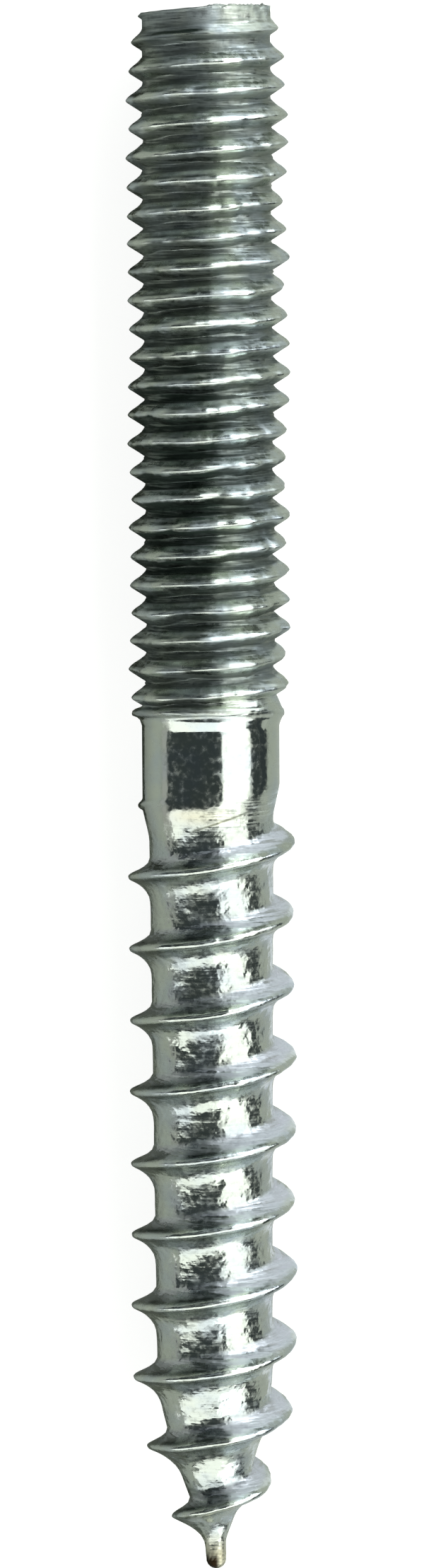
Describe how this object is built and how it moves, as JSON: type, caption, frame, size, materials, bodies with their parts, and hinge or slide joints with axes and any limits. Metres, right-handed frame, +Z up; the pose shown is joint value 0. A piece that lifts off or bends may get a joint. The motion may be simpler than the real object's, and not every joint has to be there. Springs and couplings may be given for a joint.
{
  "type": "hanger bolt",
  "caption": "Zinc-plated steel hanger bolt: a machine thread for a nut on one end, a plain shank, and a coarse wood thread with a gimlet point on the other.",
  "frame": {"origin": "on the bolt's axis, where the plain shank ends and the wood thread begins", "axes": "+Y along the axis towards the machine end, +Z up, the bolt lying on its side"},
  "size_m": [0.0042, 0.0392, 0.004],
  "materials": {
    "zinc_steel": "bright zinc plating on rolled steel, a little rough in the thread grooves"
  },
  "bodies": {
    "root": {"hanger_bolt": "zinc_steel"}
  },
  "joints": []
}
